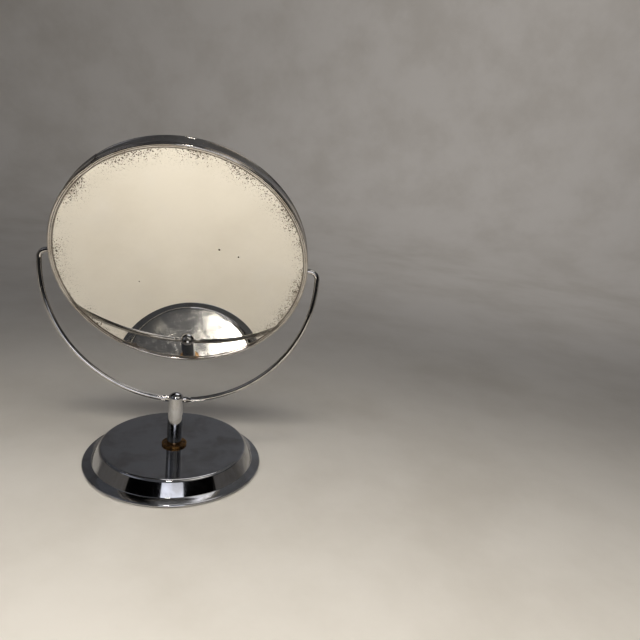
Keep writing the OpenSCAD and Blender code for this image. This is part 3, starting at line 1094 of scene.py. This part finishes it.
@dataclass
class Stand:
    """The turned post and the bent wire yoke that goes through it."""

    post_r: float = 4.5
    post_z: float = 11.75
    post_top: float = 44.55
    dome_h: float = 2.4
    dome_r: float = 5.42
    foot_chamfer: float = 0.35
    thread_r: float = 2.5
    thread_l: float = 12.0
    drill_point: float = 0.6
    drill_reach: float = 10.0
    wire_r: float = 1.5
    hole_slack: float = 0.12
    yoke_r: float = 77.6
    arc_z: float = 117.85
    arm_upright: float = 2.8
    bend_r: float = 4.8
    tip_x: float = 69.5
    ear_from: float = 4.5
    ear_to: float = 7.3
    ear_high: float = 1.9
    ear_thin: float = 1.1
    ear_blend: float = 0.8
    ear_overrun: float = 0.5
    arms_z: float = 60.0

    def post(self) -> bpy.types.Object:
        """Spins the post with its domed end and blind screw hole, and drills it for the wire."""
        shoulder = self.post_top - self.dome_h
        middle = (0.0, self.post_top - self.dome_r)
        angle = math.degrees(math.asin((shoulder - middle[1]) / self.dome_r))
        drill_tip = self.post_z + self.thread_l + self.thread_r * self.drill_point
        break_below, break_degrees, reach = 0.3, 2.0, self.drill_reach
        section = [
            (0.0, drill_tip), (self.thread_r, self.post_z + self.thread_l), (self.thread_r, self.post_z),
            (self.post_r - self.foot_chamfer, self.post_z), (self.post_r, self.post_z + self.foot_chamfer),
            (self.post_r, shoulder - break_below),
        ]
        section += arc(middle, self.dome_r, angle + break_degrees, 90, steps=14)
        section[-1] = (0.0, self.post_top)
        made = turned(section, steps=96)
        post = make_piece("turned_post", made, [CHROME_ROD], Body.STAND, "post")
        drill = WireSweep(self.wire_r + self.hole_slack)
        drill.start(crosswise(-reach, self.wire_z(reach))).straight((2 * reach, 0, 0), steps=20)
        for point in drill.made.verts:
            point.co.z += (self.wire_z(point.co.x / MM) - self.wire_z(reach)) * MM
        drill.cap()
        cut(post, drill.made)
        return post

    def wire_z(self, across: float) -> float:
        """Gives the height of the yoke's low arc at a place across the mirror, both in millimetres."""
        return self.arc_z - math.sqrt(self.yoke_r ** 2 - across ** 2)

    def yoke(self) -> bpy.types.Object:
        """Draws the wire from one pivot end round to the other, and stakes it beside the post."""
        pivot_z = joint_place("head_tilt").z / MM
        reach = self.yoke_r - self.bend_r - self.tip_x
        wire = WireSweep(self.wire_r)
        corner_x, corner_z = self.tip_x + reach, pivot_z - self.bend_r
        wire.start(crosswise(-self.tip_x, pivot_z, -1))
        wire.straight((-reach, 0, 0), 3).bend(-corner_x, corner_z, 90, 14)
        wire.straight((0, 0, -self.arm_upright), 2).bend(0, self.arc_z, 180, 240)
        wire.straight((0, 0, self.arm_upright), 2).bend(corner_x, corner_z, 90, 14)
        wire.straight((-reach, 0, 0), 3)
        wire.cap()
        for point in wire.made.verts:
            across = abs(point.co.x) / MM
            if point.co.z > self.arms_z * MM or across > self.ear_to + self.ear_overrun:
                continue
            inner = min(1.0, max(0.0, (across - self.ear_from + self.ear_blend) / self.ear_blend))
            outer = min(1.0, max(0.0, (self.ear_to + self.ear_overrun - across) / self.ear_blend))
            share = min(inner, outer)
            middle = self.wire_z(across) * MM
            point.co.z = middle + (point.co.z - middle) * (1 + share * (self.ear_high / self.wire_r - 1))
            point.co.y *= 1 + share * (self.ear_thin / self.wire_r - 1)
        return make_piece("bent_yoke_wire", wire.made, [CHROME_WIRE], Body.STAND, "yoke_wire")

    def build(self) -> List[bpy.types.Object]:
        """Builds the new pieces and dresses the kept nodes.

        Returns:
            The new pieces.
        """
        dress_nodes({"pivot_screw": ZINC, "plain_washer": ZINC})
        return [self.post(), self.yoke()]


@dataclass
class Head:
    """The two mirrors back to back in their rolled rim."""

    rest_tilt: float = 22.0
    band_r: float = 70.8
    band_in_r: float = 70.3
    bead_mid_r: float = 70.4
    bead_mid_z: float = 4.75
    bead_r: float = 0.8
    bead_turn: Point = (162.0, -58.0)
    bead_foot: float = 0.79
    bead_side: float = 0.72
    window_r: float = 69.0
    lip_t: float = 0.5
    lip_edge: float = 0.12
    bush_r: float = 2.04
    drill_reach: float = 90.0
    joint_angle: float = 127.0
    joint_gap: float = 0.25
    joint_step: float = 0.14
    joint_spread: float = 2.2
    dent_deep: float = 0.22
    dent_from_joint: float = 4.5
    dent_spread: float = 3.0
    dent_full_z: float = 5.0
    glass_r: float = 69.6
    glass_t: float = 2.0
    glass_front: float = 4.5
    arris: float = 0.25
    curve_r: float = 600.0
    front_foxing: float = 0.76
    rear_foxing: float = 0.7

    def place(self) -> Matrix:
        """Gives the head's place at rest: X across, Z out of the plain mirror's face."""
        turn = Matrix.Rotation(math.radians(90 + self.rest_tilt), 4, "X")
        return Matrix.Translation(joint_place("head_tilt")) @ turn

    def silvering(self, name: str, strength: float) -> SilveredGlass:
        """Gives a silvering whose foxing is centred on this head's glass.

        Args:
            name: the material's name.
            strength: how much of it is foxed.

        Returns:
            The finish.
        """
        back = self.place().inverted()
        turn, shift = back.to_euler("XYZ"), back.to_translation()
        return SilveredGlass(
            name, body_colour="#f7f3e9", gloss_roughness=0.008, visible_radius_mm=self.window_r,
            fox_strength=strength, to_local=(tuple(shift), tuple(turn)))

    def rim(self) -> bpy.types.Object:
        """Spins the rolled band with a bead and a folded lip at each side, and leaves its butt joint open."""
        top, low, edge = self.bead_mid_z + self.lip_t / 2, self.bead_mid_z - self.lip_t / 2, self.lip_edge
        inner_wall = [(self.band_in_r, 0.0), (self.band_in_r, low)]
        lip = [(self.window_r + edge, low), (self.window_r, low + edge), (self.window_r, top - edge),
               (self.window_r + edge, top), (self.bead_mid_r - self.bead_foot, top)]
        bead = arc((self.bead_mid_r, self.bead_mid_z), self.bead_r, *self.bead_turn, steps=22)
        wall = [(self.band_r, self.bead_mid_z - self.bead_side), (self.band_r, 0.0)]
        upper = inner_wall + lip + bead + wall
        lower = [(r, -z) for r, z in reversed(upper) if z > 0]
        gap = math.degrees(self.joint_gap / self.bead_mid_r)
        made = turned(upper + lower, 240, self.joint_angle + gap / 2, FULL_TURN - gap)
        for point in made.verts:
            angle = math.degrees(math.atan2(point.co.y, point.co.x)) % FULL_TURN
            run = math.radians(angle - self.joint_angle) * self.bead_mid_r
            lift = math.exp(-(run / self.joint_spread) ** 2) * math.copysign(self.joint_step, run)
            dent = math.exp(-((run - self.dent_from_joint) / self.dent_spread) ** 2)
            share = max(0.0, point.co.z / (self.dent_full_z * MM))
            outward = Vector((point.co.x, point.co.y, 0)).normalized()
            point.co += outward * (lift - self.dent_deep * dent * share) * MM
        move(made, self.place())
        band = make_piece("rolled_rim_band", made, [CHROME_BAND], Body.HEAD, "rim_band")
        drill = WireSweep(self.bush_r)
        drill.start(crosswise(-self.drill_reach, joint_place("head_tilt").z / MM))
        drill.straight((2 * self.drill_reach, 0, 0), steps=1).cap()
        cut(band, drill.made)
        return band

    def glass_piece(self, name: str, section: Sequence[Point], silvering: Finish, front: int,
                    node: str) -> bpy.types.Object:
        """Spins one mirror and gives its faces their three finishes.

        Args:
            name: the piece's name.
            section: its half section in the head's own place.
            silvering: the finish of its seen face.
            front: 1 where the seen face looks along the head's Z, and -1 where it looks back.
            node: the CAD node that it replaces.

        Returns:
            The mirror.
        """
        made = turned(section, steps=192)
        made.normal_update()
        flat_enough = 0.9
        for face in made.faces:
            facing = face.normal.z * front
            kind = Face.EDGE
            if abs(facing) > flat_enough:
                kind = Face.SILVERED if facing > 0 else Face.BACKED
            face.material_index = kind.value
        finishes = [silvering, GLASS_EDGE, LACQUER]
        move(made, self.place())
        return make_piece(name, made, finishes, Body.HEAD, node, crease_degrees=25.0)

    def plain_mirror(self) -> bpy.types.Object:
        """Makes the flat front mirror."""
        low, high = self.glass_front - self.glass_t, self.glass_front
        rim, edge = self.glass_r, self.arris
        section = [(0.0, low), (rim - edge, low), (rim, low + edge), (rim, high - edge), (rim - edge, high),
                   (0.0, high)]
        foxed = self.silvering("glass_silvered_foxed", self.front_foxing)
        return self.glass_piece("plain_mirror_glass", section, foxed, 1, "front_mirror")

    def magnifier(self) -> bpy.types.Object:
        """Makes the hollow rear mirror, a shallow cap of one even thickness."""
        edge = math.degrees(math.asin(self.glass_r / self.curve_r))
        middle = (0.0, -self.glass_front - self.curve_r * math.cos(math.radians(edge)))
        hollow = arc(middle, self.curve_r, 90 - edge, 90, steps=48)
        hollow[-1] = (0.0, hollow[-1][1])
        section = hollow + [(r, z + self.glass_t) for r, z in reversed(hollow)]
        foxed = self.silvering("glass_silvered_hollow", self.rear_foxing)
        return self.glass_piece("magnifying_mirror_glass", section, foxed, -1, "rear_mirror")

    def build(self) -> List[bpy.types.Object]:
        """Builds the new pieces and dresses the kept nodes.

        Returns:
            The new pieces.
        """
        dress_nodes({"rim_joint_clip": STRAP, "left_pivot_bush": BUSH_BRASS, "right_pivot_bush": BUSH_BRASS,
                     "backing_card": CARD, "spacer_ring": CARD})
        return [self.rim(), self.plain_mirror(), self.magnifier()]


# ---------------------------------------------------------------- the studio


@dataclass
class Viewpoint:
    """The camera, held a little off level in front of the mirror."""

    azimuth: float = -7.06
    elevation: float = 15.86
    roll: float = 6.27
    lens: float = 33.75
    sensor_mm: float = 36.0
    clip_m: Point = (0.01, 20.0)
    aside_mm: float = 91.29
    above_mm: float = 86.43
    ahead_mm: float = 373.9

    def build(self) -> bpy.types.Object:
        """Makes the camera, and makes it the scene's own.

        Returns:
            The camera.
        """
        az, el, roll = (math.radians(a) for a in (self.azimuth, self.elevation, self.roll))
        back = Vector((math.sin(az) * math.cos(el), -math.cos(az) * math.cos(el), math.sin(el)))
        level = Vector((math.cos(az), math.sin(az), 0.0))
        upright = back.cross(level)
        right = level * math.cos(roll) + upright * math.sin(roll)
        over = -level * math.sin(roll) + upright * math.cos(roll)
        camera = bpy.data.objects.new("camera", bpy.data.cameras.new("camera"))
        camera.data.lens, camera.data.sensor_width = self.lens, self.sensor_mm
        camera.data.clip_start, camera.data.clip_end = self.clip_m
        where = (right * self.aside_mm + over * self.above_mm + back * self.ahead_mm) * MM
        camera.matrix_world = Matrix.Translation(where) @ Matrix((right, over, back)).transposed().to_4x4()
        bpy.context.scene.collection.objects.link(camera)
        bpy.context.scene.camera = camera
        return camera


@dataclass(frozen=True)
class Lamp:
    """One soft area light."""

    name: str
    at: Triple
    aim: Triple
    size: Tuple[float, float]
    watts: float
    colour: str = "#ffffff"
    seen_in_gloss: bool = True
    spread: float = 180.0

    def build(self) -> bpy.types.Object:
        """Makes the light."""
        data = bpy.data.lights.new(self.name, "AREA")
        data.shape, data.size, data.size_y = "RECTANGLE", self.size[0], self.size[1]
        data.energy, data.color = self.watts, linear(self.colour)[:3]
        data.spread = math.radians(self.spread)
        lamp = bpy.data.objects.new(self.name, data)
        lamp.location = self.at
        lamp.rotation_mode = "QUATERNION"
        lamp.rotation_quaternion = (Vector(self.aim) - Vector(self.at)).to_track_quat("-Z", "Y")
        lamp.visible_camera = False
        lamp.visible_glossy = self.seen_in_gloss
        bpy.context.scene.collection.objects.link(lamp)
        return lamp


@dataclass
class Studio:
    """The light tent: a pale floor that curves up into walls, lamps, and three cards for the reflections.

    The doorway and the sill are nearly black, as the tent's open front and the floor before it are. The
    valance is mid-grey, as its upper edge is. They give the chrome its dark and middle tones.
    """

    flat_r: float = 0.95
    wall_r: float = 1.35
    wall_z: float = 0.75
    cove_start: float = -84.0
    door_turn: Point = (-146.0, -24.0)
    door: Tuple[Point, Point] = ((0.93, 0.002), (0.93, 0.50))
    sill: Tuple[Point, Point] = ((0.29, 0.001), (0.93, 0.002))
    valance_turn: Point = (-30.0, 210.0)
    valance: Tuple[Point, Point] = ((1.3, 0.48), (1.3, 1.0))
    sky: str = "#606268"
    sky_bright: str = "#8d8c8a"
    sky_strength: float = 0.55
    sky_brightens: Point = (-0.7, 0.9)
    lamps: Tuple[Lamp, ...] = (
        Lamp("window", (0.10, -0.85, 0.220), (0.0, 0.0, 0.12), (0.45, 0.375), 1.0, "#eef0fb"),
        Lamp("front_lamp", (-0.015, -0.44, 0.90), (-0.015, -0.38, 0.0), (0.07, 0.08), 0.3, "#fffaf2",
             spread=62.0),
        Lamp("front_soft", (0.0, -0.52, 0.80), (0.0, -0.42, 0.0), (0.60, 0.36), 2.5, "#fff8ea", False, 75.0),
        Lamp("overhead_right", (0.55, -0.25, 1.15), (0.1, 0.0, 0.0), (0.6, 0.6), 1.25, "#fff8f0"),
        Lamp("left_fill", (-0.9, -0.4, 0.9), (0.0, 0.0, 0.05), (0.6, 0.6), 0.3, "#f1f3ff"),
        Lamp("wall_wash", (0.45, 0.15, 1.0), (0.45, 1.3, 0.2), (0.6, 0.4), 2.4, "#fdf9f5", False, 110.0),
    )

    def tent(self) -> bpy.types.Object:
        """Spins the floor and walls in one sheet."""
        rise = self.wall_r - self.flat_r
        cove = arc((self.flat_r, rise), rise, self.cove_start, 0, steps=12)
        line = [(0.0, 0.0), (self.flat_r, 0.0), *cove, (self.wall_r, self.wall_z)]
        made = bmesh.new()
        ring = [made.verts.new((across, 0.0, up)) for across, up in line]
        edges = [made.edges.new(pair) for pair in zip(ring, ring[1:])]
        spun(made, ring + edges, FULL_TURN, steps=96, merged=True)
        bmesh.ops.remove_doubles(made, verts=made.verts, dist=1e-6)
        bmesh.ops.recalc_face_normals(made, faces=made.faces)
        bmesh.ops.reverse_faces(made, faces=made.faces)
        cloth = TentCloth("cotton_tent_cloth", body_colour="#cecbc7", metallic=0.0, gloss_roughness=0.9)
        return self.stage_piece("tent_floor", made, cloth)

    def reflected_card(self, name: str, colour: str, turn: Point,
                       section: Tuple[Point, Point]) -> bpy.types.Object:
        """Makes a curved card that shows only in reflections.

        Args:
            name: its name.
            colour: its colour.
            turn: the angles where it starts and ends, in degrees.
            section: (distance out, height) of its two long edges, in metres.

        Returns:
            The card.
        """
        made = bmesh.new()
        ends = [made.verts.new((out, 0.0, up)) for out, up in section]
        bmesh.ops.rotate(made, verts=ends, cent=ORIGIN, matrix=about_z(turn[0]))
        edge = made.edges.new(ends)
        spun(made, ends + [edge], turn[1] - turn[0], steps=48)
        cloth = TentCloth("cloth_" + name, body_colour=colour, soil_colour=colour, metallic=0.0,
                          gloss_roughness=1.0)
        card = self.stage_piece(name, made, cloth)
        card.visible_camera = card.visible_diffuse = card.visible_shadow = False
        return card

    def stage_piece(self, name: str, made: bmesh.types.BMesh, finish: Finish) -> bpy.types.Object:
        """Makes a mesh part of the stage.

        Args:
            name: its name.
            made: its mesh.
            finish: its material.

        Returns:
            The object.
        """
        staged = as_object(name, made)
        staged.data.shade_smooth()
        staged.data.materials.append(finish.material())
        return staged

    def build(self) -> None:
        """Builds the tent, its cards, the sky over it and the lamps."""
        self.tent()
        self.reflected_card("tent_doorway", "#050505", self.door_turn, self.door)
        self.reflected_card("tent_sill", "#0b0b0b", self.door_turn, self.sill)
        self.reflected_card("tent_valance", "#94969b", self.valance_turn, self.valance)
        world = bpy.data.worlds.new("tent_roof")
        world.use_nodes = True
        tree = world.node_tree
        sky = tree.nodes["Background"]
        aim = add_node(tree, "ShaderNodeTexCoord").outputs["Generated"]
        across = add_node(tree, "ShaderNodeSeparateXYZ", {0: aim}).outputs["X"]
        bright = ranged(tree, across, *self.sky_brightens)
        tree.links.new(blended(tree, bright, linear(self.sky), linear(self.sky_bright)), sky.inputs["Color"])
        sky.inputs["Strength"].default_value = self.sky_strength
        bpy.context.scene.world = world
        for lamp in self.lamps:
            lamp.build()
        bpy.context.scene.view_settings.view_transform = "Standard"


def main() -> None:
    """Builds the mirror and its studio."""
    logging.basicConfig(level=logging.INFO, format="%(name)s: %(message)s")
    Viewpoint().build()
    Studio().build()
    for part in (Base(), Stand(), Head()):
        made = part.build()
        LOG.info("%s: %d new pieces", type(part).__name__, len(made))


if __name__ == "__main__":
    main()
